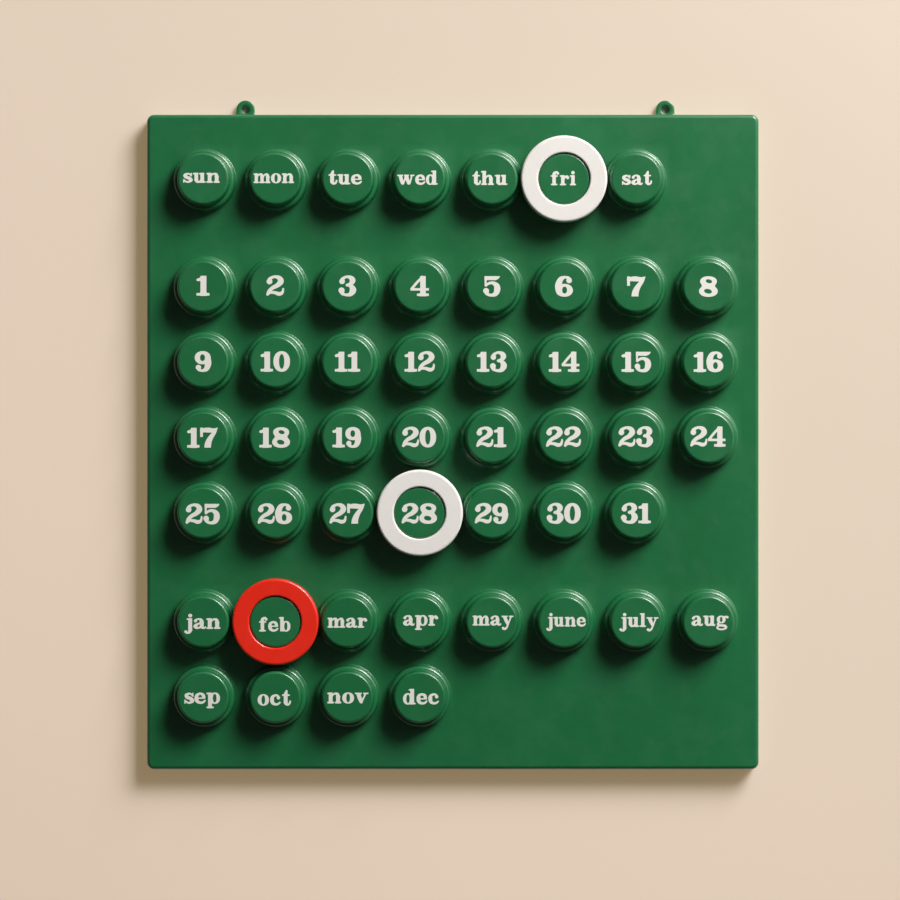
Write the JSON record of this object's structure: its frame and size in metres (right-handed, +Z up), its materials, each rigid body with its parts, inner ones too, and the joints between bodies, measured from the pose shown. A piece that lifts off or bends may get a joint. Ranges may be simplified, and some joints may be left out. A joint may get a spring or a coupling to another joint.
{
  "type": "perpetual wall calendar",
  "caption": "Moulded plastic perpetual wall calendar: a board of stepped knobs for days, dates and months, with loose rings that slip over the knobs of today.",
  "frame": {"origin": "mid-point between the two hanging holes, in the plane of the wall", "axes": "+Z up, +X to the reader's right, +Y into the wall, so the face looks along -Y"},
  "size_m": [0.285, 0.0218, 0.3122],
  "materials": {
    "green_plastic": "semi-gloss moulded",
    "white_plastic": "satin moulded",
    "red_plastic": "satin moulded",
    "white_print": "thin printed ink"
  },
  "bodies": {
    "board": {"board": "green_plastic"},
    "day_ring": {"day_ring": "white_plastic"},
    "date_ring": {"date_ring": "white_plastic"},
    "month_ring": {"month_ring": "red_plastic"}
  },
  "joints": [
    {"name": "day_ring_lift", "type": "slide", "parent": "board", "child": "day_ring", "axis": [0, -1, 0], "range_m": [0, 0.015]},
    {"name": "date_ring_lift", "type": "slide", "parent": "board", "child": "date_ring", "axis": [0, -1, 0], "range_m": [0, 0.015]},
    {"name": "month_ring_lift", "type": "slide", "parent": "board", "child": "month_ring", "axis": [0, -1, 0], "range_m": [0, 0.015]}
  ]
}
